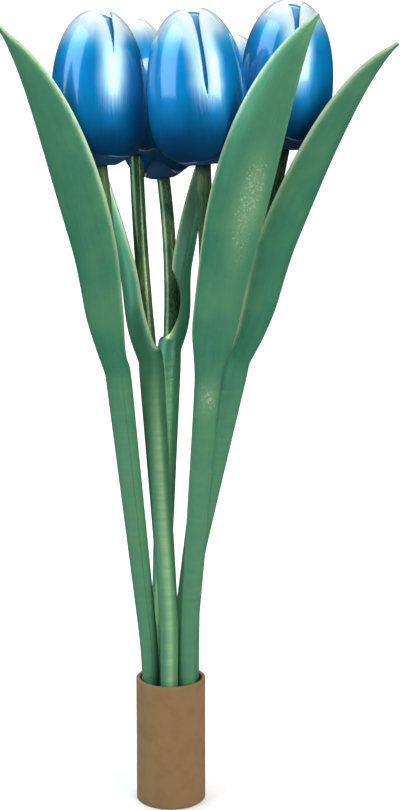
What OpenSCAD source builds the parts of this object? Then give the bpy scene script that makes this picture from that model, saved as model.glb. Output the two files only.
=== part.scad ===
// A bunch of six carved and painted wooden tulips standing in a short cardboard tube.
// Each tulip is a solid carved head on a thin round stem. The stem is set into the top of
// a leaf piece, which is a round stalk below and one long gutter-shaped leaf above.
// Origin: the centre of the tube's lower end, on the surface that it stands on. +Z is up,
// and the bunch is seen from -Y. Millimetres and degrees.

/* [Cardboard tube] */
// Outside diameter of the tube
tube_d = 32; // [31:0.5:34]
// Height of the tube
tube_h = 58; // [50:1:64]
// Thickness of the cardboard wall
tube_wall = 1.9; // [1:0.1:1.9]

/* [Stalks] */
// Radius of the circle on which the six stalks stand
foot_circle_r = 9.5; // [9.4:0.05:9.6]
// Diameter of a stalk inside the tube
stalk_d = 8; // [7.4:0.1:8.1]
// Diameter of a stalk just under its leaf
stalk_top_d = 11.6; // [10:0.2:12]

/* [Stems] */
// Diameter of a stem
stem_d = 6.4; // [5:0.1:6.6]
// How deep a stem is set into its stalk and into its head
stem_set = 12; // [8:1:14]
// Gap round a stem in its bore, for glue
glue_gap = 0.1; // [0.05:0.05:0.2]

/* [Leaves] */
// Width of a full leaf, measured round its curve
leaf_w = 29; // [22:1:30]
// Thickness of a leaf along its middle
leaf_t = 2.2; // [1.6:0.1:3]
// Thickness of a leaf at its margins
margin_t = 1.3; // [0.8:0.1:1.6]

/* [Heads] */
// Depth of the groove between two petals, as a share of the head's radius
groove = 0.1; // [0.02:0.01:0.14]
// How far the notch between two petals drops below their tips
notch_drop = 5; // [0:0.5:7]

/* [Hidden] */
PLACES = ["front_left", "back_left", "back_middle", "front_middle", "front_right", "back_right"];

// Where each stalk stands on the foot circle, and the height at which it starts to lean
foot_angle = [195, 266.5, 125, 320, 15, 68];
lean_z = [68, 90, 66, 66, 106, 66];
// Middle of each stalk's top, where the stem enters and the leaf begins
stalk_top = [
    [-22.5, -13, 201],
    [-8.6, -1, 206],
    [-0.8, 32, 208],
    [16.5, -27, 193],
    [30.5, -2, 206],
    [22, 28, 200],
];
// How far each leaf springs away from its stem before a point draws it outwards to its tip
leaf_spring = [20, 14, 14, 5, 20, 8];
leaf_pull = [
    [-39, -41, 311],
    [-34.5, 25, 290],
    [10.5, 21, 280],
    [32, -75, 315],
    [65.5, -34, 316],
    [40, 60, 292],
];
leaf_tip = [
    [-67, -48, 343.5],
    [-45.5, 33, 330],
    [28, 0, 325],
    [59, -69, 345.5],
    [93.5, -43, 337.5],
    [46, 76, 330],
];
// Direction in which the back of each leaf faces, its width as a share of a full leaf's,
// and where along its curve it is broadest
leaf_faces = [242, 199, 14, 263, 314, 55];
leaf_size = [1, 0.67, 0.92, 1, 1.04, 0.9];
leaf_broadest = [0.42, 0.4, 0.43, 0.45, 0.36, 0.42];
// Middle of each head's underside
head_base = [
    [-28.9, -21, 290],
    [-15.2, 16, 296],
    [-4.2, 57, 287],
    [14.8, -38, 289.5],
    [48.8, -12, 297],
    [27.2, 42.5, 294],
];
// Lean of each head to the right and to the back, its turn, width and height
head_lean = [[0, -1], [-1, 1], [-7, 4], [-5, -2], [3, -1], [1, 3]];
head_turn = [58, 90, 20, 40, 38, 10];
head_d = [40.3, 36, 37, 41, 40, 35];
head_h = [64, 60, 60, 63, 62.5, 59];
// How much each stem bends, and the direction in which it bows
stem_bend = [3, 4, 10, 4, 4, 3];
stem_bow = [20, 200, 10, 20, 300, 230];

// How far along the height a stalk takes to change from upright to leaning
lean_run = 30;
// Height at which the turned foot of a stalk gives way to the carved part, how far the two
// overlap, and how much slimmer the foot is
foot_h = 46;
foot_overlap = 2;
foot_slim = 0.3;
// Heights between which a stalk widens, and the power by which it does
stalk_widens = [60, 200];
stalk_growth = 1.15;
// Half the angle that a leaf wraps round: at its root, just above it, and at its tip
root_wrap = 118;
gutter_wrap = 72;
blade_wrap = 40;
// Powers of a leaf's taper from where it is broadest to its tip
taper_start = 1.7;
taper_end = 0.9;
tip_half_w = 0.7;
// Shares of a leaf's curve over which its hollow opens and its middle leaves the stem
hollow_opens = [0.015, 0.075];
leaf_parts = [0.05, 0.35];

// Where a head's belly is widest, as a share of its height, and the powers of its rounding
belly = 0.4;
top_power = 2.2;
bottom_power = 3.2;
// Half widths of a groove and of a notch in degrees, and the shares where they grow
groove_deg = 9;
groove_grows = [0.45, 0.85];
notch_deg = 14;
notch_grows = [0.84, 1];
petals = 3;

// Rings along a stalk, a leaf and a head, points round a head, and points across the
// back of a leaf, with the same number across its inside
stalk_rings = 10;
leaf_rings = 17;
head_rings = 13;
head_sides = 36;
across = 9;

leaf_green = "#5f9b83";
stem_green = "#2e5a32";
petal_blue = "#2f86d2";
card_brown = "#9c7450";

function mix(a, b, t) = a + (b - a) * t;
function clamp(x, low, high) = min(high, max(low, x));
function ramp(x, low, high) = clamp((x - low) / (high - low), 0, 1);
function smooth(x, low, high) = let (t = ramp(x, low, high)) t * t * (3 - 2 * t);
function unit(v) = v / norm(v);

// Stalks: upright in the tube, then a short bend, then a straight lean to the top
function foot(i) = foot_circle_r * [cos(foot_angle[i]), sin(foot_angle[i])];
function lean(i) =
    let (top = stalk_top[i])
    ([top.x, top.y] - foot(i)) / (top.z - lean_z[i]);
function leaned(z, middle) =
    let (from = middle - lean_run / 2)
    z < from ? 0 : z > from + lean_run ? z - middle : pow(z - from, 2) / (2 * lean_run);
function stalk_at(i, z) =
    let (p = foot(i) + lean(i) * leaned(z, lean_z[i]))
    [p.x, p.y, z];
function stalk_r(z) =
    let (t = ramp(z, stalk_widens[0], stalk_widens[1]))
    mix(stalk_d, stalk_top_d, pow(t, stalk_growth)) / 2;

// Leaf: a curve that leaves the stalk in its own direction and ends at the tip
function leaf_start(i) =
    let (d = lean(i), face = leaf_faces[i])
    stalk_top[i]
    + [d.x, d.y, 1] * (leaf_tip[i].z - stalk_top[i].z) / 3
    + leaf_spring[i] * [cos(face), sin(face), 0];
function leaf_at(i, u) =
    pow(1 - u, 3) * stalk_top[i]
    + 3 * pow(1 - u, 2) * u * leaf_start(i)
    + 3 * (1 - u) * u * u * leaf_pull[i]
    + pow(u, 3) * leaf_tip[i];

// Half the angle that the leaf wraps round, from a closed gutter to an open blade
function wrap(u) =
    let (gutter = mix(root_wrap, gutter_wrap, smooth(u, 0.02, 0.18)))
    mix(gutter, blade_wrap, smooth(u, 0.14, 0.8));
// Half the leaf's width round its curve
function half_width(i, u) =
    let (
        root = stalk_top_d / 2 * root_wrap * PI / 180,
        full = leaf_w / 2 * leaf_size[i],
        broad = mix(root, full, smooth(u, 0, leaf_broadest[i])),
        narrow = pow(1 - pow(ramp(u, leaf_broadest[i], 1), taper_start), taper_end)
    )
    max(tip_half_w, broad * narrow);

// One ring of the stalk-and-leaf: u below 0 is the round stalk, from 0 to 1 the leaf
function ring(i, u) =
    let (
        stalk_z = mix(stalk_top[i].z, foot_h, -u),
        d = 0.002,
        here = u < 0 ? stalk_at(i, stalk_z) : leaf_at(i, u),
        next = u < 0 ? stalk_at(i, stalk_z + 1) : leaf_at(i, u + d),
        last = u < 0 ? stalk_at(i, stalk_z - 1) : leaf_at(i, u - d),
        along = unit(next - last),
        face = leaf_faces[i],
        flat = [cos(face), sin(face), 0],
        back = unit(flat - (flat * along) * along),
        side = cross(along, back),
        angle = wrap(max(0, u)),
        r = u < 0 ? stalk_r(stalk_z) : half_width(i, u) / (angle * PI / 180),
        t = min(mix(leaf_t, margin_t, smooth(u, 0.5, 1)), r * 0.9),
        hollow = smooth(u, hollow_opens[0], hollow_opens[1]),
        axis_out = stalk_top_d / 2 * (1 - smooth(u, leaf_parts[0], leaf_parts[1])),
        middle = u < 0 ? here : here + back * (axis_out - r)
    )
    concat(
        [for (k = [0:across - 1])
            let (a = mix(-angle, angle, k / (across - 1)))
            middle + r * (back * cos(a) + side * sin(a))],
        [for (k = [0:across - 1])
            let (
                w = 2 * k / (across - 1) - 1,
                a = -w * (angle - 2),
                thick = mix(t, min(t, margin_t), w * w),
                round = angle + (360 - 2 * angle) * (k + 1) / (across + 1),
                inner = middle + (r - thick) * (back * cos(a) + side * sin(a)),
                outer = middle + r * (back * cos(round) + side * sin(round))
            )
            mix(outer, inner, hollow)]
    );

// A closed skin over rings of equal numbers of points
module skin(rings) {
    n = len(rings[0]);
    last = (len(rings) - 1) * n;
    walls = [
        for (r = [0:len(rings) - 2])
        for (k = [0:n - 1])
        let (a = r * n + k, b = r * n + (k + 1) % n)
        each [[a, a + n, b], [b, a + n, b + n]]
    ];
    floor_face = [[for (k = [0:n - 1]) k]];
    roof_face = [[for (k = [n - 1:-1:0]) last + k]];
    points = [for (r = rings) each r];
    polyhedron(points, concat(walls, floor_face, roof_face), convexity = 6);
}

// Turns its child from standing on Z to standing along v
module along(v) {
    rotate([0, acos(v.z / norm(v)), atan2(v.y, v.x)])
        children();
}

// The stem's line, one gentle arc that runs on into both of its bores. Extra thickens
// and lengthens it, for the bores themselves.
module stem_line(i, extra = 0) {
    chord = head_base[i] - stalk_top[i];
    length = norm(chord);
    half = stem_bend[i] / 2;
    radius = length / 2 / sin(half);
    set_angle = (stem_set + extra) / radius * 180 / PI;
    spin = stem_bow[i] - atan2(chord.y, chord.x);
    translate(stalk_top[i])
        along(chord)
            rotate([0, 0, spin])
                translate([-radius * cos(half), 0, length / 2])
                    rotate([90, 0, 0])
                        rotate([0, 0, -half - set_angle])
                            rotate_extrude(angle = 2 * (half + set_angle), $fn = 720)
                                translate([radius, 0])
                                    circle(d = stem_d + 2 * extra, $fn = 24);
}

module stem(i) {
    color(stem_green) stem_line(i);
}

module leaf(i) {
    stalk = [for (k = [0:stalk_rings - 1]) k / stalk_rings - 1];
    blade = [for (k = [0:leaf_rings]) pow(k / leaf_rings, 1.15)];
    place = foot(i);
    color(leaf_green)
        difference() {
            union() {
                translate([place.x, place.y, 0])
                    cylinder(h = foot_h + foot_overlap, d = stalk_d - foot_slim, $fn = 32);
                skin([for (u = concat(stalk, blade)) ring(i, u)]);
            }
            stem_line(i, glue_gap);
        }
}

// A head's outline: 0 at its underside, 1 at its tips, as a share of its radius
function outline(t) =
    t < belly
        ? pow(1 - pow((belly - t) / (belly + 0.02), bottom_power), 1 / 2)
        : pow(1 - pow((t - belly) / (1 - belly), top_power), 1 / top_power);

// One point of a head: the notches widen and deepen towards the top
function head_point(i, t, a) =
    let (
        step = 360 / petals,
        off = abs((a + step / 2) % step - step / 2),
        deep = exp(-pow(off / groove_deg, 2)) * smooth(t, groove_grows[0], groove_grows[1]),
        r = head_d[i] / 2 * max(0.06, outline(t)) * (1 - groove * deep),
        notch = exp(-pow(off / notch_deg, 2)) * smooth(t, notch_grows[0], notch_grows[1]),
        z = head_h[i] * t - notch_drop * notch
    )
    [r * cos(a), r * sin(a), z];

module head(i) {
    rings = [
        for (k = [0:head_rings])
        let (t = (1 - cos(180 * k / head_rings)) / 2)
        [for (s = [0:head_sides - 1]) head_point(i, t * 0.995, 360 * s / head_sides)]
    ];
    color(petal_blue)
        difference() {
            translate(head_base[i])
                rotate([-head_lean[i][1], head_lean[i][0], 0])
                    rotate([0, 0, head_turn[i]])
                        skin(rings);
            stem_line(i, glue_gap);
        }
}

module cardboard_tube() {
    color(card_brown)
        difference() {
            cylinder(h = tube_h, d = tube_d, $fn = 96);
            translate([0, 0, -1])
                cylinder(h = tube_h + 2, d = tube_d - 2 * tube_wall, $fn = 96);
        }
}

cardboard_tube();
for (i = [0:len(PLACES) - 1]) {
    head(i);
    stem(i);
    leaf(i);
}
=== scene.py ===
"""A bunch of six carved and painted wooden tulips in a short cardboard tube.

Each tulip's head is a bud with three carved petals round it, on a thin stem. The stem is set
into the top of a leaf piece: a round stalk below and one long gutter-shaped leaf above. All
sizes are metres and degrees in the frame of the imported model, whose origin is the centre of
the tube's lower end. The bunch is seen from -Y.
"""

import logging
from dataclasses import dataclass
from enum import Enum
from math import acos, asin, atan2, cos, degrees, exp, pi, radians, sin
from typing import Sequence

import bmesh
import bpy
from mathutils import Matrix, Vector, noise


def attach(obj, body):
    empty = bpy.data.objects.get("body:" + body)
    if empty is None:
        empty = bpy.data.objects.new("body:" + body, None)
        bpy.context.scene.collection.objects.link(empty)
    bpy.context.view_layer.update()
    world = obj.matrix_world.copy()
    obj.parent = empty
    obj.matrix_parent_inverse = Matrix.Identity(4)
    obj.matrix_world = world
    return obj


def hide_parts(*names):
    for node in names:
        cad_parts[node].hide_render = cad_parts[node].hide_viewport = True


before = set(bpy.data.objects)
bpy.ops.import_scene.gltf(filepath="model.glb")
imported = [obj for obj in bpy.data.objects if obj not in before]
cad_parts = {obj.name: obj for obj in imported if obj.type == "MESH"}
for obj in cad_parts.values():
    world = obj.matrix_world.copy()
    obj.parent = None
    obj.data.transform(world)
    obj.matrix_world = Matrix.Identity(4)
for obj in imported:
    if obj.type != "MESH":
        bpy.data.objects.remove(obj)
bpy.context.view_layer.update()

LOG = logging.getLogger("wooden_tulips")
Colour = tuple[float, float, float]
Point = tuple[float, float, float]
Span = tuple[float, float]
Material = bpy.types.Material
Object = bpy.types.Object

# The distance within which two points are one, and one that is far from any edge
TINY = 1e-6
FAR = 0.01


class Slot(Enum):
    """The material slots."""

    CARD = "cardboard"
    PETAL = "petal_paint"
    STEM = "stem_paint"
    LEAF = "leaf_paint"


def mix(low: float, high: float, share: float) -> float:
    """Returns the value a share of the way from low to high."""
    return low + (high - low) * share


def ramp(x: float, low: float, high: float) -> float:
    """Returns where x lies between low and high, held from 0 to 1."""
    return min(1.0, max(0.0, (x - low) / (high - low)))


def smooth(x: float, low: float, high: float) -> float:
    """Returns ramp() with soft ends."""
    t = ramp(x, low, high)
    return t * t * (3 - 2 * t)


def heading(angle: float) -> Vector:
    """Returns the level unit vector at an angle in degrees from +X."""
    return Vector((cos(radians(angle)), sin(radians(angle)), 0))


class Wire:
    """One output of a shader node, on which shader maths is written as an expression."""

    def __init__(self, paint: "Paint", socket: bpy.types.NodeSocket) -> None:
        """Keeps the socket and the paint whose node tree it is in."""
        self.paint = paint
        self.socket = socket

    def maths(self, operation: str, *others: "Wire | float") -> "Wire":
        """Returns a Math node's result, with this as its first input."""
        return self.paint.maths(operation, self, *others)

    def __add__(self, other: "Wire | float") -> "Wire":
        """Returns self + other."""
        return self.maths("ADD", other)

    def __sub__(self, other: "Wire | float") -> "Wire":
        """Returns self - other."""
        return self.maths("SUBTRACT", other)

    def __rsub__(self, other: float) -> "Wire":
        """Returns other - self."""
        return self.paint.maths("SUBTRACT", other, self)

    def __mul__(self, other: "Wire | float") -> "Wire":
        """Returns self * other."""
        return self.maths("MULTIPLY", other)

    __radd__ = __add__
    __rmul__ = __mul__

    def sway(self, amount: float) -> "Wire":
        """Returns noise that swings about 0, by half the amount each way."""
        return (self - 0.5) * amount

    def rise(self, low: float, high: float) -> "Wire":
        """Returns 0 below low and 1 above high with soft ends, or the reverse if low > high."""
        ends = sorted((low, high))
        settings = {"interpolation_type": "SMOOTHSTEP"}
        values = {"Value": self, "From Min": ends[0], "From Max": ends[1]}
        risen = self.paint.node("ShaderNodeMapRange", settings, values)
        return risen if low < high else 1 - risen


@dataclass(frozen=True)
class Grain:
    """How fine and how rough a noise is."""

    scale: float
    detail: float = 2.0
    rough: float = 0.5


@dataclass(frozen=True)
class Brushing:
    """Noise drawn out along a piece: how often it changes across it and along it."""

    across: float
    along: float
    grain: Grain


class Paint:
    """A material whose nodes are added by plain calls."""

    def __init__(self, name: str) -> None:
        """Makes an empty node material of that name."""
        self.material = bpy.data.materials.new(name)
        self.material.use_nodes = True
        self.tree = self.material.node_tree
        self.tree.nodes.clear()

    def node(self, kind: str, settings: dict, values: dict, output: str | int = 0) -> Wire:
        """Adds any node.

        Args:
            kind: The node's type.
            settings: Its settings.
            values: Its sockets' values or links.
            output: Which output is wanted.

        Returns:
            That output.
        """
        made = self.tree.nodes.new(kind)
        for name, value in settings.items():
            setattr(made, name, value)
        for name, value in values.items():
            socket = made.inputs[name]
            if isinstance(value, Wire):
                self.tree.links.new(value.socket, socket)
            elif isinstance(value, tuple) and socket.type == "RGBA":
                socket.default_value = (*value, 1.0)
            else:
                socket.default_value = value
        return Wire(self, made.outputs[output])

    def maths(self, operation: str, *values: "Wire | float") -> Wire:
        """Adds a Math node and returns its result."""
        return self.node("ShaderNodeMath", {"operation": operation}, dict(enumerate(values)))

    def blend(self, low: "Wire | Colour", high: "Wire | Colour", share: "Wire | float") -> Wire:
        """Returns the colour a share of the way from low to high."""
        values = {0: share, 6: low, 7: high}
        return self.node("ShaderNodeMix", {"data_type": "RGBA"}, values, 2)

    def layered(self, colour: "Wire | Colour", *layers: tuple) -> Wire:
        """Returns a colour with others laid over it, each given with its share."""
        for over, share in layers:
            colour = self.blend(colour, over, share)
        return colour

    def place(self) -> Wire:
        """Returns the Object coordinates."""
        return self.node("ShaderNodeTexCoord", {}, {}, "Object")

    def stretched(self, stretch: Point) -> Wire:
        """Returns the Object coordinates, stretched."""
        values = {"Vector": self.place(), "Scale": Vector(stretch)}
        return self.node("ShaderNodeMapping", {}, values)

    def carried(self, name: str) -> Wire:
        """Returns a number that the piece's points carry."""
        return self.node("ShaderNodeAttribute", {"attribute_name": name}, {}, "Fac")

    def joined(self, x: "Wire | float", y: "Wire | float", z: "Wire | float") -> Wire:
        """Returns a vector of three numbers."""
        return self.node("ShaderNodeCombineXYZ", {}, {0: x, 1: y, 2: z})

    def from_axis(self) -> Wire:
        """Returns the distance from the object's own upright axis."""
        flat = self.stretched((1, 1, 0))
        return self.node("ShaderNodeVectorMath", {"operation": "LENGTH"}, {0: flat}, "Value")

    def ramp(self, value: Wire, places: Sequence[float], colours: Sequence[Colour]) -> Wire:
        """Returns a colour that runs through several, each at its own place."""
        run = self.node("ShaderNodeValToRGB", {}, {0: value})
        elements = run.socket.node.color_ramp.elements
        while len(elements) < len(colours):
            elements.new(0.5)
        for element, place, colour in zip(elements, places, colours):
            element.position, element.color = place, (*colour, 1.0)
        return run

    def cloud(self, grain: Grain, where: Wire | None = None) -> Wire:
        """Returns smooth noise from 0 to 1, over the Object coordinates or others."""
        values = {"Scale": grain.scale, "Detail": grain.detail, "Roughness": grain.rough}
        return self.node("ShaderNodeTexNoise", {}, {"Vector": where or self.place(), **values})

    def bump(self, height: Wire, depth: float) -> Wire:
        """Returns a normal tilted by a height in units of depth metres."""
        return self.node("ShaderNodeBump", {}, {"Height": height, "Distance": depth})

    def finish(self, values: dict) -> Material:
        """Closes the material with a Principled shader of those values and returns it."""
        shader = self.node("ShaderNodeBsdfPrincipled", {}, values)
        end = self.tree.nodes.new("ShaderNodeOutputMaterial")
        self.tree.links.new(shader.socket, end.inputs["Surface"])
        return self.material


@dataclass(frozen=True)
class PetalPaint:
    """Pearl blue airbrushed over silver, with the silver left on the tips and petal edges.

    The blue darkens to navy low down, partly painted shade. The silver along the seams is partly
    a painted highlight, and a painted highlight line follows the petal edges.
    """

    silver: Colour = (0.36, 0.60, 0.70)
    bright: Colour = (0.46, 0.74, 0.84)
    tip: Colour = (0.62, 0.72, 0.76)
    light_blue: Colour = (0.02, 0.44, 0.80)
    blue: Colour = (0.0, 0.225, 0.56)
    teal: Colour = (0.0, 0.15, 0.36)
    deep_blue: Colour = (0.0, 0.062, 0.165)
    navy: Colour = (0.0, 0.034, 0.090)
    rim: Colour = (0.45, 0.52, 0.62)
    heights: tuple[float, ...] = (0.04, 0.17, 0.31, 0.46, 0.66, 0.88)
    brushed: Brushing = Brushing(9.0, 1.6, Grain(3.2, 3.0, 0.6))
    fine: Brushing = Brushing(30.0, 3.0, Grain(3.0))
    soft: Grain = Grain(70.0)
    fleck: Grain = Grain(2600.0, 1.0)
    band_starts: Span = (0.56, 0.90)
    band_widest: float = 0.6
    band_widens: float = 0.25
    band_ends: Span = (0.30, 0.52)
    band_cover: float = 0.95
    tip_starts: Span = (0.74, 0.92)
    tip_cover: float = 0.93
    rim_width: Span = (0.00080, 0.0002)
    lower: Span = (0.2, 0.7)
    bump_depth: float = 0.00010

    def build(self) -> Material:
        """Returns the petals' material."""
        paint = Paint("pearl_petal")
        up, across, rim = (paint.carried(name) for name in ("up", "across", "rim"))
        round_x, round_y = paint.carried("round_x"), paint.carried("round_y")
        brushed, fine = (
            paint.cloud(b.grain, paint.joined(round_x * b.across, round_y * b.across, up * b.along))
            for b in (self.brushed, self.fine)
        )
        soft = paint.cloud(self.soft)
        # The blue runs darker down to navy at the foot: partly the paint's own gradient, partly
        # painted shade under the head.
        blues = (self.navy, self.deep_blue, self.teal, self.blue, self.blue, self.light_blue)
        body = paint.ramp(up + brushed.sway(0.06) + soft.sway(0.10), self.heights, blues)
        wider = (up - self.band_widest) * self.band_widens
        band = (across + soft.sway(0.20) + wider).rise(*self.band_starts)
        band = band * (up + brushed.sway(0.12) + fine.sway(0.05)).rise(*self.band_ends)
        tip = (up + across * 0.05 + soft.sway(0.12) + brushed.sway(0.05)).rise(*self.tip_starts)
        silvered = 1 - (1 - band * self.band_cover) * (1 - tip * self.tip_cover)
        # Within the band the silver runs brighter in streaks: partly silver paint, partly a painted
        # highlight of broad sheen.
        metal = paint.blend(self.silver, self.bright, band * (fine.rise(0.35, 0.65) * 0.5 + 0.5))
        # A paler line is painted along the petals' edges, stronger higher up: a painted highlight
        # where the thin edges catch the light.
        edge = rim.rise(*self.rim_width) * (0.70 + 0.2 * up.rise(*self.lower))
        flecks = paint.cloud(self.fleck).rise(0.62, 0.80) * up.rise(0.2, 0.6)
        return paint.finish({
            "Base Color": paint.layered(
                body,
                (paint.blend(metal, self.tip, tip), silvered),
                (self.rim, edge),
                (self.silver, flecks * 0.06),
            ),
            "Metallic": 0.42 - silvered * 0.20,
            "Roughness": 0.44 + brushed.sway(0.16),
            "Specular IOR Level": 0.12,
            "Coat Weight": (0.10 + up.rise(0.24, 0.50) * 0.85) * (1 - band * 0.80),
            "Coat Roughness": 0.10,
            "Coat IOR": 1.62,
            "Normal": paint.bump(brushed * 0.5 + fine * 0.3 + soft * 0.5, self.bump_depth),
        })


@dataclass(frozen=True)
class BudPaint:
    """The plain blue of the bud between the petals, painted shade low down, and its grey underside.
    """

    blue: Colour = (0.02, 0.26, 0.52)
    shade: Colour = (0.0, 0.10, 0.32)
    navy: Colour = (0.0, 0.020, 0.055)
    grey: Colour = (0.010, 0.048, 0.120)
    heights: tuple[float, ...] = (0.0, 0.07, 0.16, 0.40, 0.65, 0.92)
    stretch: Point = (1, 1, 0.12)
    grain: Grain = Grain(900.0, 3.0)
    bump_depth: float = 0.0001

    def build(self) -> Material:
        """Returns the bud's material."""
        paint = Paint("bud_blue")
        up = paint.carried("up")
        grain = paint.cloud(self.grain, paint.stretched(self.stretch))
        # From its blue top the bud darkens through the shade colour to navy below: painted shade
        # inside the petals and on the underside.
        blues = (self.grey, self.grey, self.navy, self.shade, self.shade, self.blue)
        return paint.finish({
            "Base Color": paint.ramp(up + grain.sway(0.05), self.heights, blues),
            "Metallic": 0.10,
            "Roughness": 0.50 + grain.sway(0.2),
            "Specular IOR Level": 0.12,
            "Coat Weight": 0.1 + up.rise(0.4, 0.7) * 0.4,
            "Coat Roughness": 0.10,
            "Normal": paint.bump(grain, self.bump_depth),
        })


@dataclass(frozen=True)
class LeafPaint:
    """Metallic sea-green, brushed along the leaf, with worn patches; painted highlights on the
    upper margins and stalks, painted light inside the gutter and painted shade down its fold.
    """

    green: Colour = (0.055, 0.235, 0.126)
    cool: Colour = (0.038, 0.190, 0.114)
    warm: Colour = (0.125, 0.300, 0.130)
    stalk: Colour = (0.120, 0.310, 0.165)
    margin_highlight: Colour = (0.52, 0.70, 0.42)
    worn: Colour = (0.50, 0.64, 0.40)
    wear_and_sheen: Colour = (0.220, 0.420, 0.220)
    inner: Colour = (0.160, 0.340, 0.220)
    gutter_shade: Colour = (0.100, 0.095, 0.065)
    line: Colour = (0.030, 0.085, 0.030)
    pale: Colour = (0.340, 0.560, 0.270)
    brushed: Brushing = Brushing(9.0, 2.2, Grain(1.6, 4.0, 0.62))
    fine: Brushing = Brushing(30.0, 6.0, Grain(2.4))
    broad: Grain = Grain(42.0)
    dabs: Grain = Grain(210.0, 3.0, 0.65)
    flecks: Grain = Grain(900.0, 2.0, 0.7)
    spots: Grain = Grain(1100.0, 2.0, 0.6)
    ribs: Grain = Grain(520.0)
    rib_stretch: Point = (0.04, 0.04, 1.0)
    turns_to_stalk: Span = (0.06, -0.25)
    ribs_start: Span = (0.04, -0.06)
    gutter_shade_width: Span = (0.14, 0.03)
    soft_edge: Span = (0.0036, 0.0006)
    hard_edge: Span = (0.0021, 0.0005)
    edge_waver: float = 0.0012
    line_width: Span = (0.00040, 0.00010)
    bump_depth: float = 0.00020

    def build(self) -> Material:
        """Returns the leaves' material."""
        paint = Paint("sea_green_leaf")
        along, across, inside, rim, lit, worn, ridge, pale, seed = (
            paint.carried(name) for name in Leaf.carried
        )
        brushed, grain = (
            paint.cloud(b.grain, paint.joined(across * b.across, along * b.along, seed))
            for b in (self.brushed, self.fine)
        )
        grains = (self.broad, self.dabs, self.flecks, self.spots)
        broad, dabs, flecks, spots = (paint.cloud(each) for each in grains)
        ribs = paint.cloud(self.ribs, paint.stretched(self.rib_stretch))
        strokes = brushed.rise(0.30, 0.65) * 0.6 + dabs.rise(0.35, 0.65) * 0.4
        warmed = broad.rise(0.42, 0.75) * 0.45 + along.rise(0.3, 1.0) * 0.20
        carved = along.rise(*self.turns_to_stalk)
        ribbed = along.rise(*self.ribs_start)
        # Down the fold inside the gutter a dark brownish band is painted: painted shade.
        gutter_shade = across.maths("ABSOLUTE").rise(*self.gutter_shade_width) * inside
        # On the margin that faces up a soft lighter band is painted: a painted highlight where the
        # margin catches the light. The same colour also lightens the worn patches, which are real
        # wear.
        wear_and_sheen = rim.rise(*self.soft_edge) * lit * (0.35 + 0.65 * dabs.rise(0.25, 0.6))
        # The bright edge line, strongest on the margin that faces up, is a painted highlight.
        edge = (rim + flecks.sway(self.edge_waver)).rise(*self.hard_edge)
        wear = (worn * 0.22 + spots * 0.78).rise(0.58, 0.76) * worn.rise(0.05, 0.5)
        relief = brushed * 0.6 + grain * 0.3 + dabs * 0.5 + ribs * ribbed * 0.9 + wear * 0.6
        return paint.finish({
            "Base Color": paint.layered(
                self.cool,
                (self.green, strokes),
                (self.warm, warmed),
                # The carved stalk is painted lighter: partly its own paint, partly painted sheen
                # standing in for the gloss on its round surface.
                (self.stalk, carved * (0.45 + 0.4 * dabs)),
                (self.warm, ribs.rise(0.50, 0.70) * ribbed * 0.45),
                # A lighter stripe down some stalks: a painted highlight, partly paler paint.
                (self.pale, pale * (0.72 + ribs.rise(0.40, 0.70) * 0.25)),
                # The gutter's inner face is painted lighter: painted light that lifts the shade
                # inside the gutter.
                (self.inner, inside * 0.60),
                (self.gutter_shade, gutter_shade * 0.75),
                (self.wear_and_sheen, wear_and_sheen),
                (self.margin_highlight, edge * (0.05 + lit * 0.80)),
                (self.wear_and_sheen, worn * 0.60),
                (self.worn, wear * 0.52),
                (self.line, ridge.rise(*self.line_width) * 0.5),
            ),
            "Metallic": 0.30 + brushed * 0.10,
            "Roughness": 0.36 + grain.sway(0.18) + wear * 0.12,
            "Specular IOR Level": 0.25,
            "Coat Weight": 0.12,
            "Coat Roughness": 0.25,
            "Normal": paint.bump(relief, self.bump_depth),
        })


@dataclass(frozen=True)
class StemPaint:
    """Glossy dark green, drawn out along the stem, turning navy at the top: overspray and painted
    shade.
    """

    green: Colour = (0.060, 0.135, 0.060)
    light: Colour = (0.300, 0.400, 0.180)
    spray_and_shade: Colour = (0.0, 0.022, 0.055)
    stretch: Point = (1, 1, 0.03)
    streaks: Grain = Grain(1300.0, 1.0)
    broad: Grain = Grain(60.0, 1.0)
    spray_and_shade_starts: Span = (0.86, 0.91)
    bump_depth: float = 0.000008

    def build(self) -> Material:
        """Returns the stems' material."""
        paint = Paint("stem_green")
        streaks = paint.cloud(self.streaks, paint.stretched(self.stretch))
        broad = paint.cloud(self.broad)
        lighter = streaks.rise(0.35, 0.75) * 0.15 + broad.rise(0.4, 0.7) * 0.45
        # Near the head the stem turns navy: partly blue overspray, partly painted shade under the
        # head.
        sprayed_and_shaded = (paint.carried("up") + streaks.sway(0.03)).rise(*self.spray_and_shade_starts)
        return paint.finish({
            "Base Color": paint.layered(self.green, (self.light, lighter), (self.spray_and_shade, sprayed_and_shaded)),
            "Metallic": 0.50,
            "Roughness": 0.27 + streaks.sway(0.08),
            "Specular IOR Level": 0.2,
            "Coat Weight": 0.05,
            "Coat Roughness": 0.15,
            "Normal": paint.bump(streaks, self.bump_depth),
        })


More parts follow.
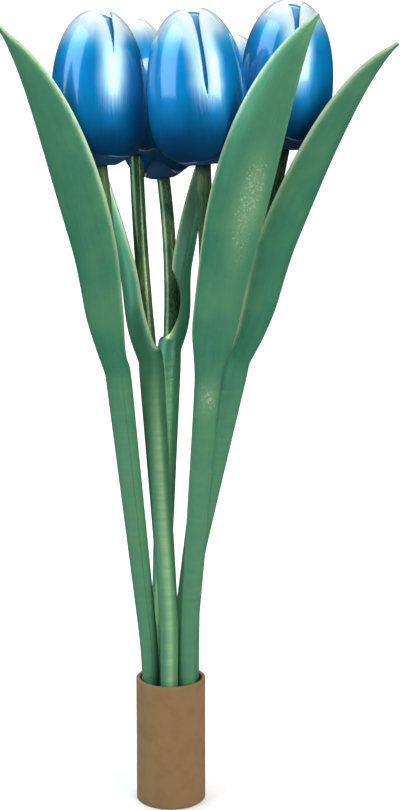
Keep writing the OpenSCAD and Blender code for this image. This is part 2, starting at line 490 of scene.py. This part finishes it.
@dataclass(frozen=True)
class Cardboard:
    """Matt kraft card with fine fibres, and its plies showing at the cut ends."""

    brown: Colour = (0.212, 0.120, 0.050)
    dark: Colour = (0.185, 0.102, 0.042)
    light: Colour = (0.300, 0.182, 0.088)
    plies: float = 5.0
    mottle: Grain = Grain(130.0, 4.0, 0.6)
    fibres: Grain = Grain(1500.0, 3.0, 0.7)
    fibre_stretch: Point = (1, 1, 2.6)
    specks: Grain = Grain(3800.0, 1.0)
    bump_depth: float = 0.00012

    def build(self) -> Material:
        """Returns the tube's material."""
        paint = Paint("kraft_card")
        mottle = paint.cloud(self.mottle)
        fibres = paint.cloud(self.fibres, paint.stretched(self.fibre_stretch))
        specks = paint.cloud(self.specks)
        cut = paint.carried("cut")
        wave = (paint.from_axis() - CardTube.radius) * (2 * pi * self.plies / CardTube.wall)
        plies = wave.maths("SINE").rise(0.35, 0.95)
        return paint.finish({
            "Base Color": paint.layered(
                self.dark,
                (self.brown, mottle.rise(0.28, 0.60)),
                (self.light, fibres.rise(0.55, 0.85) * 0.45),
                (self.dark, specks.rise(0.66, 0.78) * 0.5),
                (self.light, cut * 0.55),
                (self.dark, plies * cut * 0.5),
            ),
            "Roughness": 0.86 + mottle.sway(0.1),
            "Specular IOR Level": 0.3,
            "Normal": paint.bump(fibres * 0.7 + mottle * 0.5 + specks * 0.2, self.bump_depth),
        })


@dataclass(frozen=True)
class StudioWhite:
    """The pale floor and backdrop."""

    white: Colour = (0.86, 0.86, 0.86)
    shade: Colour = (0.8471, 0.8471, 0.8471)
    soft: Grain = Grain(3.0)

    def build(self) -> Material:
        """Returns the floor's material."""
        paint = Paint("studio_white")
        colour = paint.blend(self.shade, self.white, paint.cloud(self.soft))
        return paint.finish({"Base Color": colour, "Roughness": 0.9})


def put(vert: bmesh.types.BMVert, point: Vector, layers: Sequence, numbers: Sequence) -> None:
    """Moves a vertex to a point and writes its numbers into their layers."""
    vert.co = point
    for layer, number in zip(layers, numbers):
        vert[layer] = number


class Skin:
    """A mesh drawn ring by ring: it starts as a circle, and each further ring is an extrusion."""

    def __init__(self, points: int, carried: Sequence[str]) -> None:
        """Starts the mesh.

        Args:
            points: How many points a ring has.
            carried: The names of the numbers that every point carries.
        """
        self.bm = bmesh.new()
        self.layers = [self.bm.verts.layers.float.new(name) for name in carried]
        self.ring = bmesh.ops.create_circle(self.bm, segments=points, radius=1.0)["verts"]
        self.started = False

    def draw(self, points: Sequence[Vector], numbers: Sequence[Sequence[float]]) -> None:
        """Adds a ring.

        Args:
            points: Its points, in order.
            numbers: What each point carries, in the order of the names.
        """
        if self.started:
            self.extrude()
        self.started = True
        for vert, point, carried in zip(self.ring, points, numbers):
            put(vert, point, self.layers, carried)

    def extrude(self) -> None:
        """Extrudes the last ring, so that the ring's points are the new ones."""
        pairs = zip(self.ring, self.ring[1:] + self.ring[:1])
        edges = [self.bm.edges.get(pair) for pair in pairs]
        made = bmesh.ops.extrude_edge_only(self.bm, edges=edges)["geom"]
        fresh = {item for item in made if isinstance(item, bmesh.types.BMVert)}
        joined = ([edge.other_vert(vert) for edge in vert.link_edges] for vert in self.ring)
        self.ring = [next(vert for vert in verts if vert in fresh) for verts in joined]

    def close(self) -> bmesh.types.BMesh:
        """Fills both ends, points the faces outwards and returns the mesh."""
        bmesh.ops.holes_fill(self.bm, edges=self.bm.edges[:], sides=0)
        bmesh.ops.recalc_face_normals(self.bm, faces=self.bm.faces[:])
        return self.bm


def add(name: str, data: bpy.types.ID) -> Object:
    """Adds an object with that data to the scene and returns it."""
    made = bpy.data.objects.new(name, data)
    bpy.context.scene.collection.objects.link(made)
    return made


def make_piece(name: str, bm: bmesh.types.BMesh, material: Material) -> Object:
    """Turns a finished bmesh, which it frees, into a smooth object at the origin."""
    mesh = bpy.data.meshes.new(name)
    for face in bm.faces:
        face.smooth = True
    bm.to_mesh(mesh)
    bm.free()
    mesh.materials.append(material)
    LOG.info("%s: %d faces", name, len(mesh.polygons))
    return add(name, mesh)


def weld(bm: bmesh.types.BMesh) -> None:
    """Merges the points that share a place and points the faces outwards."""
    bmesh.ops.remove_doubles(bm, verts=bm.verts[:], dist=TINY)
    bmesh.ops.recalc_face_normals(bm, faces=bm.faces[:])


def subdivide(piece: Object) -> None:
    """Adds a Subdivision Surface of one level in view and render."""
    modifier = piece.modifiers.new("subdivision", "SUBSURF")
    modifier.levels = modifier.render_levels = 1


@dataclass(frozen=True)
class Leaf:
    """A round stalk that turns into one long gutter-shaped leaf.

    u runs along it: from -1 at the foot of the carved stalk to 0 where the leaf begins, and
    on to 1 at the tip.
    """

    foot_angle: float
    lean_z: float
    top: Point
    pull: Point
    tip: Point
    faces: float
    breadth: float
    broadest: float
    spring: float
    ridge: float = 0.0
    pale: float = 0.0
    patches: tuple[tuple[float, float, float, float], ...] = ()

    # From here on the same for every leaf
    carried: tuple[str, ...] = (
        "along", "across", "inside", "rim", "lit", "worn", "ridge", "pale", "seed",
    )
    foot_carries: tuple[float, ...] = (-1.2, 0.0, 0.0, FAR, 0.0, 0.0, FAR, 0.0)
    foot_rings: tuple[Span, ...] = (
        (0.0, 0.93), (0.0004, 0.98), (0.0015, 1.0), (0.020, 1.0), (0.044, 1.0),
    )
    foot_circle_r: float = 0.0095
    stalk_r: float = 0.004
    top_r: float = 0.0058
    foot_slim: float = 0.00015
    lean_run: float = 0.030
    foot_h: float = 0.046
    width: float = 0.029
    thick: float = 0.0022
    margin_thick: float = 0.0013
    root_wrap: float = 118.0
    gutter_wrap: float = 72.0
    blade_wrap: float = 40.0
    pale_breadth: float = 0.17
    blunt: float = 0.0015
    blunt_share: float = 0.011
    blunt_least: float = 0.3
    widens: Span = (0.060, 0.200)
    opens: Span = (0.02, 0.18)
    flattens: Span = (0.14, 0.8)
    thins: Span = (0.5, 1.0)
    hollows: Span = (0.015, 0.075)
    sets_back: Span = (0.05, 0.35)
    most_of_r: float = 0.9
    margin_turn: float = 2.0
    rim_starts: Span = (-0.02, 0.03)
    lit_from: Span = (0.0, 0.12)
    ridge_fades: Span = (0.0, 0.12)
    pale_fades: Span = (0.02, -0.25)
    step: float = 0.002
    growth: float = 1.15
    taper_start: float = 1.7
    taper_end: float = 0.9
    stalk_rings: int = 26
    leaf_rings: int = 54
    ring_growth: float = 1.15
    tip_rings: tuple[float, ...] = (1.0, 0.6, 0.3, 0.1, 0.0)
    shares: tuple[float, ...] = (
        -1, -0.965, -0.88, -0.74, -0.58, -0.40, -0.20, 0, 0.20, 0.40, 0.58, 0.74, 0.88, 0.965, 1,
    )

    def foot(self) -> Vector:
        """Returns the middle of the stalk's foot."""
        return heading(self.foot_angle) * self.foot_circle_r

    def lean(self) -> Vector:
        """Returns how far the stalk moves sideways for each metre that it rises."""
        top = Vector(self.top)
        return (Vector((top.x, top.y, 0)) - self.foot()) / (top.z - self.lean_z)

    def stalk_at(self, z: float) -> Vector:
        """Returns the middle of the stalk at a height."""
        risen = max(0.0, z - self.lean_z + self.lean_run / 2)
        bent = min(risen, self.lean_run)
        gone = bent ** 2 / (2 * self.lean_run) + risen - bent
        return self.foot() + self.lean() * gone + Vector((0, 0, z))

    def blade_at(self, u: float) -> Vector:
        """Returns the leaf's middle line."""
        top, pull, tip = Vector(self.top), Vector(self.pull), Vector(self.tip)
        start = top + (self.lean() + Vector((0, 0, 1))) * (tip.z - top.z) / 3
        start += heading(self.faces) * self.spring
        v = 1 - u
        return v ** 3 * top + 3 * v ** 2 * u * start + 3 * v * u ** 2 * pull + u ** 3 * tip

    def wrap(self, u: float) -> float:
        """Returns half the angle that the leaf wraps round."""
        gutter = mix(self.root_wrap, self.gutter_wrap, smooth(u, *self.opens))
        return mix(gutter, self.blade_wrap, smooth(u, *self.flattens))

    def half_width(self, u: float) -> float:
        """Returns half the leaf's width round its curve."""
        root = self.top_r * radians(self.root_wrap)
        broad = mix(root, self.width / 2 * self.breadth, smooth(u, 0, self.broadest))
        narrow = (1 - ramp(u, self.broadest, 1) ** self.taper_start) ** self.taper_end
        rounded = (1 - ramp(u, 1 - self.blunt_share, 1) ** 2) ** 0.5
        return max(broad * narrow, self.blunt * max(self.blunt_least, rounded))

    def wear(self, u: float, share: float) -> float:
        """Returns how worn the leaf is at a place, from 0 to 1."""
        worn = (
            exp(-(((u - middle) / length) ** 2) - ((share - side) / breadth) ** 2)
            for middle, length, side, breadth in self.patches
        )
        return min(1.0, sum(worn))

    def numbers(self, u: float, share: float, inside: float, half_arc: float,
                rises: float) -> list[float]:
        """Works out what a point carries.

        Args:
            u: Where its ring is.
            share: Where it is across the leaf, from -1 to 1.
            inside: 1 inside the gutter and 0 outside.
            half_arc: Half the leaf's width round its curve.
            rises: How steeply the leaf rises towards a share of 1.

        Returns:
            The numbers named in carried, without the seed.
        """
        rim = mix(FAR, (1 - abs(share)) * half_arc, smooth(u, *self.rim_starts))
        lit = smooth(share * rises, *self.lit_from)
        worn = self.wear(u, share) * (1 - inside)
        ridge, pale = FAR, 0.0
        if self.ridge and not inside:
            ridge = mix(abs(share - self.ridge) * half_arc, FAR, smooth(u, *self.ridge_fades))
        # The stripe down the stalk, a painted highlight partly of paler paint, centres on this
        # share.
        if self.pale:
            off = (share - self.pale) / self.pale_breadth
            pale = exp(-(off ** 2)) * smooth(u, *self.pale_fades)
        return [u, share, inside, rim, lit, worn, ridge, pale]

    def section(self, u: float) -> tuple[list[Vector], list[list[float]]]:
        """Works out the points of the ring at u, and what each of them carries."""
        height = mix(self.top[2], self.foot_h, -u)
        if u < 0:
            here = self.stalk_at(height)
            along = self.stalk_at(height + self.step) - self.stalk_at(height - self.step)
        else:
            here = self.blade_at(u)
            along = self.blade_at(min(1, u + self.step)) - self.blade_at(max(0, u - self.step))
        along.normalize()
        flat = heading(self.faces)
        back = (flat - flat.dot(along) * along).normalized()
        side = along.cross(back)
        angle = self.wrap(max(0.0, u))
        grown = mix(self.stalk_r, self.top_r, ramp(height, *self.widens) ** self.growth)
        r = grown if u < 0 else self.half_width(u) / radians(angle)
        thick = mix(self.thick, self.margin_thick, smooth(u, *self.thins))
        thick = min(thick, r * self.most_of_r)
        hollow = smooth(u, *self.hollows)
        out = 0 if u < 0 else self.top_r * (1 - smooth(u, *self.sets_back)) - r
        middle = here + back * out
        half_arc = radians(angle) * r

        def around(radius: float, azimuth: float) -> Vector:
            """Returns the point at a radius and an angle round the ring's middle."""
            a = radians(azimuth)
            return middle + radius * (back * cos(a) + side * sin(a))

        points = [around(r, share * angle) for share in self.shares]
        numbers = [self.numbers(u, share, 0.0, half_arc, side.z) for share in self.shares]
        gap = (360 - 2 * angle) / (len(self.shares) + 1)
        for k, share in enumerate(reversed(self.shares), 1):
            wall = mix(thick, min(thick, self.margin_thick), share * share)
            inner = around(r - wall, share * (angle - self.margin_turn))
            points.append(around(r, angle + gap * k).lerp(inner, hollow))
            numbers.append(self.numbers(u, share, hollow, half_arc, side.z))
        return points, numbers

    def build(self, place: str, seed: float, paint: Material) -> Object:
        """Draws the leaf piece of the tulip at that place, whose seed varies its brushing."""
        count = 2 * len(self.shares)
        skin = Skin(count, self.carried)
        foot, r = self.foot(), self.stalk_r - self.foot_slim
        first, _ = self.section(-1.0)
        middle = foot + Vector((0, 0, self.foot_h))
        for height, size in self.foot_rings:
            lowered = [foot + (p - middle).normalized() * r * size for p in first]
            for p in lowered:
                p.z = height
            skin.draw(lowered, [(*self.foot_carries, seed)] * count)
        stalk = [k / self.stalk_rings - 1 for k in range(self.stalk_rings)]
        blade = [(k / self.leaf_rings) ** self.ring_growth for k in range(self.leaf_rings)]
        tip = [1 - self.blunt_share * share for share in self.tip_rings]
        for u in stalk + blade + tip:
            points, numbers = self.section(u)
            skin.draw(points, [row + [seed] for row in numbers])
        piece = make_piece(place + "_leaf_piece", skin.close(), paint)
        subdivide(piece)
        return piece


@dataclass(frozen=True)
class Stem:
    """A thin round stem, bent in one gentle arc, that runs on into both of its bores."""

    low: Point
    high: Point
    bend: float
    bow: float

    radius: float = 0.0032
    set_depth: float = 0.012
    sides: int = 24
    rings: int = 44
    uneven: float = 0.012
    uneven_step: float = 0.35

    def build(self, place: str, paint: Material) -> Object:
        """Draws the stem of the tulip at that place."""
        low, high = Vector(self.low), Vector(self.high)
        chord = high - low
        half = radians(self.bend) / 2
        bend_r = chord.length / 2 / sin(half)
        extra = self.set_depth / bend_r
        # The arc's own frame: chord along Z, with the arc bulging towards its own +X.
        bearing = atan2(chord.y, chord.x)
        turned = (
            Matrix.Translation(low)
            @ Matrix.Rotation(bearing, 4, "Z")
            @ Matrix.Rotation(acos(chord.z / chord.length), 4, "Y")
            @ Matrix.Rotation(radians(self.bow) - bearing, 4, "Z")
        )
        skin = Skin(self.sides, ("up",))
        for k in range(self.rings + 1):
            a = mix(-half - extra, half + extra, k / self.rings)
            centre = Vector((bend_r * (cos(a) - cos(half)), 0, bend_r * sin(a) + chord.length / 2))
            out, side = Vector((cos(a), 0, sin(a))), Vector((0, 1, 0))
            ring = []
            for s in range(self.sides):
                b = 2 * pi * s / self.sides
                spot = Vector((cos(b), sin(b), k * self.uneven_step + len(place)))
                r = self.radius * (1 + self.uneven * noise.noise(spot))
                ring.append(turned @ (centre + r * (out * cos(b) + side * sin(b))))
            skin.draw(ring, [[k / self.rings]] * self.sides)
        return make_piece(place + "_stem_piece", skin.close(), paint)


@dataclass(frozen=True)
class Head:
    """A bud with three petals carved round it, open between their tips and closed below."""

    base: Point
    lean_right: float
    lean_back: float
    turn: float
    width: float
    height: float
    closes: float = 0.5
    drift: float = 0.0
    groove: float = 0.0004
    notch: float = 0.0015
    notch_from: float = 0.70
    notch_power: float = 1.15
    bevel: float = 0.0
    wedge: float = 0.0
    low_edge: float = 0.012
    low_rise: float = 0.13
    calm_front: float = 0.0

    # From here on the same for every head
    petals: int = 3
    front_seam: int = 2
    side_closes: float = 0.5
    belly: float = 0.40
    top_power: float = 2.2
    bottom_power: float = 3.2
    petal_thick: float = 0.0015
    bud_inset: float = 0.0012
    roll: float = 0.00055
    roll_reach: float = 0.0018
    bevel_depth: float = 0.0007
    high_edge: float = 0.985
    high_drop: float = 0.045
    corner_reach: float = 0.30
    corner_drop: float = 0.030
    columns: int = 36
    rows: int = 52
    bud_rings: int = 34
    bud_sides: int = 72
    base_share: float = 0.02
    drifts: Span = (0.95, 0.5)
    groove_run: float = 0.10
    peak_power: float = 2.2
    edge_crowds: float = 0.55
    end_crowds: float = 0.6
    most_sine: float = 0.8
    opens_over: float = 0.12
    bevel_grows: Span = (0.60, 0.95)
    peak_rim: float = 0.003
    peak_spans: Span = (0.35, 0.8)
    tip_rim: float = 0.5
    bud_top: float = 0.995
    bud_tapers: Span = (0.6, 0.95)
    bud_taper: float = 0.2
    bud_sinks: Span = (0.6, 1.0)
    bud_drop: float = 0.03
    bud_least_r: float = 0.0004
    crease_depth: float = 0.10
    crease_breadth: float = 8.0
    creases: Span = (0.80, 0.95)

    def outline(self, t: float) -> float:
        """Returns the radius at a height, both as shares."""
        if t < self.belly:
            below = (self.belly - t) / (self.belly + self.base_share)
            return (1 - below ** self.bottom_power) ** 0.5
        above = min(1.0, (t - self.belly) / (1 - self.belly))
        return (1 - above ** self.top_power) ** (1 / self.top_power)

    def placed(self) -> Matrix:
        """Returns the head's place and lean."""
        return (
            Matrix.Translation(self.base)
            @ Matrix.Rotation(radians(self.lean_right), 4, "Y")
            @ Matrix.Rotation(-radians(self.lean_back), 4, "X")
            @ Matrix.Rotation(radians(self.turn), 4, "Z")
        )

    def seam(self, index: int, t: float) -> float:
        """Returns the direction of a seam between two petals at a height, in degrees."""
        return index * 360 / self.petals + self.drift * smooth(t, *self.drifts)

    def opens(self, index: int) -> float:
        """Returns the height from which a seam is open, as a share."""
        return self.closes if index % self.petals == self.front_seam else self.side_closes

    def half_gap(self, index: int, t: float) -> float:
        """Returns half the width of a seam at a height."""
        start = self.opens(index)
        thin = self.groove * smooth(t, start, start + self.groove_run)
        wide = ramp(t, max(start, self.notch_from), self.high_edge) ** self.notch_power
        return thin + self.notch * wide

    def peak(self, azimuth: float) -> float:
        """Returns how near a direction is to a peak of the petals' lower edge, from 0 to 1."""
        between = 180 / self.petals
        return 1 - abs((azimuth - self.wedge + between) % (2 * between) - between) / between

    def low(self, azimuth: float) -> float:
        """Returns where the petals' lower edge runs in a direction, as a share of the height."""
        facing = max(0.0, -sin(radians(azimuth + self.turn)))
        rise = self.low_rise * self.peak(azimuth) ** self.peak_power
        return self.low_edge + rise * (1 - self.calm_front * facing)

    def petal_point(self, petal: int, x: float, y: float) -> tuple[Vector, list[float]]:
        """Works out one point of a petal.

        Args:
            petal: Which petal it is.
            x: Across the petal, from -1 to 1 in even steps.
            y: Up the petal, from 0 to 1 in even steps.

        Returns:
            The point, and what it carries: up, across, round_x, round_y and rim.
        """
        p = x * (1 + self.edge_crowds * (1 - abs(x)))
        low_azimuth = mix(self.seam(petal, 0), self.seam(petal + 1, 0), (p + 1) / 2)
        low = self.low(low_azimuth)
        corner = 1 - (1 - ramp(abs(p), 1 - self.corner_reach, 1) ** 2) ** 0.5
        high = self.high_edge - self.high_drop * abs(p) ** 3 - self.corner_drop * corner
        t = mix(low, high, mix(y, (1 - cos(pi * y)) / 2, self.end_crowds))
        r = self.width / 2 * self.outline(t)
        side = petal if x < 0 else petal + 1
        gap = degrees(asin(min(self.most_sine, self.half_gap(side, t) / r)))
        left, right = self.seam(petal, t), self.seam(petal + 1, t)
        azimuth = mix(left, right, (p + 1) / 2) - gap * p * abs(p)
        open_here = smooth(t, self.opens(side), self.opens(side) + self.opens_over)
        edge = (1 - abs(p)) * radians(180 / self.petals - gap) * r
        r -= self.roll * open_here * (1 - ramp(edge, 0, self.roll_reach)) ** 2
        if self.bevel and x > 0 and side % self.petals == self.front_seam:
            reach = self.bevel * smooth(t, *self.bevel_grows)
            r -= self.bevel_depth * open_here * (1 - ramp(edge, 0, reach + TINY))
        peaked = smooth(self.peak(low_azimuth), *self.peak_spans)
        under = (t - low) * self.height + self.peak_rim * peaked
        over = (high - t) * self.height * self.tip_rim
        rim = min(edge + FAR * (1 - open_here), under, over)
        round_x, round_y = cos(radians(azimuth)), sin(radians(azimuth))
        point = Vector((r * round_x, r * round_y, self.height * t))
        return point, [t, abs(p), round_x, round_y, rim]

    def build_petals(self, place: str, paint: Material) -> Object:
        """Draws the three petals as one thick shell, joined wherever a seam is closed."""
        bm = bmesh.new()
        names = ("up", "across", "round_x", "round_y", "rim")
        layers = [bm.verts.layers.float.new(name) for name in names]
        placed = self.placed()
        for petal in range(self.petals):
            steps = {"x_segments": self.columns, "y_segments": self.rows}
            for vert in bmesh.ops.create_grid(bm, size=1.0, **steps)["verts"]:
                point, numbers = self.petal_point(petal, vert.co.x, (vert.co.y + 1) / 2)
                put(vert, placed @ point, layers, numbers)
        weld(bm)
        axis = placed @ Vector((0, 0, self.height / 2))
        facings = [face.normal.dot(face.calc_center_median() - axis) for face in bm.faces]
        if sum(facing < 0 for facing in facings) > len(bm.faces) / 2:
            bmesh.ops.reverse_faces(bm, faces=bm.faces[:])
        piece = make_piece(place + "_petals", bm, paint)
        thicken = piece.modifiers.new("thickness", "SOLIDIFY")
        thicken.thickness = self.petal_thick
        thicken.offset = -1.0
        subdivide(piece)
        return piece

    def build_bud(self, place: str, paint: Material) -> Object:
        """Draws the bud inside the petals."""
        skin = Skin(self.bud_sides, ("up",))
        placed, between = self.placed(), 180 / self.petals
        for k in range(self.bud_rings + 1):
            t = (1 - cos(pi * k / self.bud_rings)) / 2 * self.bud_top
            inset = self.bud_inset * (1 + self.bud_taper * smooth(t, *self.bud_tapers))
            z = self.height * (t - self.bud_drop * smooth(t, *self.bud_sinks))
            ring = []
            for s in range(self.bud_sides):
                a = 360 * s / self.bud_sides
                off = abs(a % (2 * between) - between) / self.crease_breadth
                crease = self.crease_depth * exp(-(off ** 2)) * smooth(t, *self.creases)
                r = self.width / 2 * self.outline(t) * (1 - crease)
                r = max(self.bud_least_r, r - inset)
                ring.append(placed @ (heading(a) * r + Vector((0, 0, z))))
            skin.draw(ring, [[t]] * self.bud_sides)
        return make_piece(place + "_bud", skin.close(), paint)


@dataclass(frozen=True)
class Tulip:
    """One tulip of the bunch, which moves as one body."""

    place: str
    leaf: Leaf
    head: Head
    stem_bend: float
    stem_bow: float
    seed: float

    def build(self, finishes: dict[type, Material]) -> None:
        """Builds the leaf piece, the stem, the petals and the bud."""
        place, head = self.place, self.head
        stem = Stem(self.leaf.top, head.base, self.stem_bend, self.stem_bow)
        for piece, node, slot in (
            (self.leaf.build(place, self.seed, finishes[LeafPaint]), "_leaf", Slot.LEAF),
            (stem.build(place, finishes[StemPaint]), "_stem", Slot.STEM),
            (head.build_petals(place, finishes[PetalPaint]), "_head", Slot.PETAL),
            (head.build_bud(place, finishes[BudPaint]), "_head", Slot.PETAL),
        ):
            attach(piece, place + "_tulip")
            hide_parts(place + node)


@dataclass(frozen=True)
class CardTube:
    """The short cardboard tube that the bunch stands in."""

    radius: float = 0.016
    height: float = 0.058
    wall: float = 0.0019
    rounding: float = 0.00035
    steps: int = 128
    uneven: float = 0.00008
    uneven_scale: float = 90.0

    def build(self, paint: Material) -> None:
        """Spins the wall's outline round the axis."""
        outer, top, soft = self.radius, self.height, self.rounding
        inner, middle, hold = outer - self.wall, outer - self.wall / 2, soft * 3
        outline = (
            (outer - soft, 0), (outer, soft), (outer, hold),
            (outer, top / 4), (outer, top / 2), (outer, top * 3 / 4),
            (outer, top - hold), (outer, top - soft), (outer - soft, top), (middle, top),
            (inner + soft, top), (inner, top - soft), (inner, top - hold), (inner, top / 2),
            (inner, hold), (inner, soft), (inner + soft, 0), (middle, 0),
        )
        bm = bmesh.new()
        cut = bm.verts.layers.float.new("cut")
        verts = [bm.verts.new((r, 0, z)) for r, z in outline]
        for vert in verts:
            vert[cut] = float(not soft / 2 <= vert.co.z <= top - soft / 2)
        edges = [bm.edges.new(pair) for pair in zip(verts, verts[1:] + verts[:1])]
        bmesh.ops.spin(bm, geom=verts + edges, cent=(0, 0, 0), axis=(0, 0, 1), angle=2 * pi,
                       steps=self.steps, use_merge=True, use_duplicate=False)
        weld(bm)
        for vert in bm.verts:
            dent = abs(noise.noise(vert.co * self.uneven_scale)) * self.uneven
            vert.co.x *= 1 - dent / self.radius
            vert.co.y *= 1 - dent / self.radius
        piece = make_piece("card_tube", bm, paint)
        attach(piece, "tube")
        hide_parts("cardboard_tube")


def mm(*values: float) -> Point:
    """Returns a point given in millimetres."""
    return tuple(value / 1000 for value in values)


def plan_tulips() -> list[Tulip]:
    """Returns the six tulips of the bunch, with the places that the source gives them."""
    # A leaf's numbers are in the order of its fields: where its foot stands and where it starts
    # to lean, the points it runs through, which way it faces, how broad it is and how it springs.
    return [
        Tulip("front_left", Leaf(
            195, 0.068, mm(-22.5, -13, 201), mm(-39, -41, 311), mm(-67, -48, 343.5),
            242, 1, 0.42, 0.020, ridge=0.41,
        ), Head(
            mm(-28.9, -21, 290), 0, -1, 58, 0.0403, 0.064, closes=0.70, drift=-6, groove=0.0001,
            notch=0.0019, notch_from=0.74, wedge=316, low_edge=0.045, low_rise=0.04,
        ), 3, 20, 0.0),
        Tulip("back_left", Leaf(
            266.5, 0.090, mm(-8.6, -1, 206), mm(-34.5, 25, 290), mm(-45.5, 33, 330),
            199, 0.67, 0.40, 0.014, pale=0.69,
        ), Head(mm(-15.2, 16, 296), -1, 1, 118, 0.036, 0.060), 4, 200, 3.1),
        Tulip("back_middle", Leaf(
            125, 0.066, mm(-0.8, 32, 208), mm(10.5, 21, 280), mm(28, 0, 325),
            14, 0.92, 0.43, 0.014, pale=-0.98,
        ), Head(mm(-4.2, 57, 287), -7, 4, 20, 0.037, 0.060), 10, 10, 5.7),
        Tulip("front_middle", Leaf(
            320, 0.066, mm(16.5, -27, 193), mm(32, -75, 315), mm(59, -69, 345.5),
            263, 1, 0.45, 0.005,
            patches=((0.46, 0.15, 0.32, 0.42), (0.52, 0.05, 0.42, 0.25), (0.0, 0.06, 0.10, 0.5)),
        ), Head(
            mm(14.8, -38, 289.5), -5, -2, 40, 0.041, 0.063, closes=0.42, drift=1.5,
            groove=0.0005, notch=0.0014, notch_from=0.76, notch_power=1.8, bevel=0.0026,
            wedge=132, calm_front=0.9,
        ), 4, 20, 8.4),
        Tulip("front_right", Leaf(
            15, 0.106, mm(30.5, -2, 206), mm(65.5, -34, 316), mm(93.5, -43, 337.5),
            314, 1.04, 0.36, 0.020,
        ), Head(
            mm(48.8, -12, 297), 3, -1, 38, 0.040, 0.0625, closes=0.5, groove=0.0007,
            notch=0.0020, notch_from=0.80, notch_power=1.4, bevel=0.0022, wedge=320,
            low_edge=0.05,
        ), 4, 300, 11.2),
        Tulip("back_right", Leaf(
            68, 0.066, mm(22, 28, 200), mm(40, 60, 292), mm(46, 76, 330),
            55, 0.90, 0.42, 0.008,
        ), Head(mm(27.2, 42.5, 294), 1, 3, 10, 0.035, 0.059), 3, 230, 14.9),
    ]


@dataclass(frozen=True)
class PhotoCamera:
    """The camera that sees the bunch as the photograph does."""

    place: Point = (0.0135, -0.600, 0.2686)
    pitch_down: float = 7.97
    focal_pixels: float = 1348.0
    frame_height: float = 810.0
    sensor: float = 36.0
    clip: Span = (0.01, 20.0)

    def build(self) -> None:
        """Adds the camera and makes it the scene's."""
        data = bpy.data.cameras.new("photo_camera")
        data.sensor_width = self.sensor
        data.lens = self.focal_pixels / self.frame_height * self.sensor
        data.clip_start, data.clip_end = self.clip
        camera = add("photo_camera", data)
        camera.location = self.place
        camera.rotation_euler = (radians(90 - self.pitch_down), 0, 0)
        bpy.context.scene.camera = camera


@dataclass(frozen=True)
class Softbox:
    """A square of soft light that faces the bunch."""

    name: str
    place: Point
    width: float
    height: float
    power: float
    colour: Colour
    aim: Point = (0.0, 0.0, 0.25)

    def build(self) -> None:
        """Adds the light."""
        data = bpy.data.lights.new(self.name, "AREA")
        data.shape = "RECTANGLE"
        data.size, data.size_y = self.width, self.height
        data.energy, data.color = self.power, self.colour
        light = add(self.name, data)
        light.location = self.place
        towards = Vector(self.aim) - Vector(self.place)
        light.rotation_euler = towards.to_track_quat("-Z", "Y").to_euler()


@dataclass(frozen=True)
class Studio:
    """The pale floor with its curved backdrop, the lights and the air."""

    softboxes: tuple[Softbox, ...] = (
        Softbox("window_left", (-0.84, -0.36, 0.78), 0.82, 1.10, 9.5, (0.74, 0.92, 1.0)),
        Softbox("key_right", (0.78, -0.92, 0.72), 0.62, 0.62, 12.5, (1.0, 0.99, 0.96)),
        Softbox("top", (0.0, 0.25, 1.30), 0.90, 0.90, 4.5, (1.0, 1.0, 1.0)),
        Softbox("backdrop", (0.0, 0.80, 1.50), 1.60, 0.60, 26.0, (1.0, 1.0, 1.0), (0.0, 1.8, 0.55)),
    )
    air: Colour = (0.93, 0.95, 1.0)
    air_strength: float = 0.48
    floor_reach: float = 2.4
    curve_start: float = 1.0
    curve_radius: float = 0.8
    bends: int = 12

    def build(self) -> None:
        """Adds everything."""
        world = bpy.data.worlds.new("studio_air")
        bpy.context.scene.world = world
        world.use_nodes = True
        background = world.node_tree.nodes["Background"]
        background.inputs["Color"].default_value = (*self.air, 1.0)
        background.inputs["Strength"].default_value = self.air_strength
        world.cycles_visibility.glossy = False
        for softbox in self.softboxes:
            softbox.build()
        self.build_floor()

    def build_floor(self) -> None:
        """Adds the floor, which curves up into a backdrop."""
        bm = bmesh.new()
        reach = self.floor_reach
        start = bm.verts.new((-reach, -reach, 0))
        end = bm.verts.new((reach, -reach, 0))
        edge = bm.edges.new((start, end))
        steps = [Vector((0, reach + self.curve_start, 0))]
        for k in range(self.bends):
            a, b = pi / 2 * k / self.bends, pi / 2 * (k + 1) / self.bends
            steps.append(self.curve_radius * Vector((0, sin(b) - sin(a), cos(a) - cos(b))))
        steps.append(Vector((0, 0, reach)))
        for step in steps:
            made = bmesh.ops.extrude_edge_only(bm, edges=[edge])["geom"]
            verts = [item for item in made if isinstance(item, bmesh.types.BMVert)]
            bmesh.ops.translate(bm, vec=step, verts=verts)
            edge = next(item for item in made if isinstance(item, bmesh.types.BMEdge))
        bmesh.ops.recalc_face_normals(bm, faces=bm.faces[:])
        floor = make_piece("studio_floor", bm, StudioWhite().build())
        floor.visible_glossy = False


def main() -> None:
    """Builds the camera, the studio, the tube and the tulips."""
    logging.basicConfig(level=logging.INFO, format="%(name)s: %(message)s")
    bpy.context.scene.view_settings.view_transform = "Standard"
    PhotoCamera().build()
    Studio().build()
    recipes = (PetalPaint, BudPaint, LeafPaint, StemPaint, Cardboard)
    finishes = {recipe: recipe().build() for recipe in recipes}
    CardTube().build(finishes[Cardboard])
    for tulip in plan_tulips():
        tulip.build(finishes)


if __name__ == "__main__":
    main()
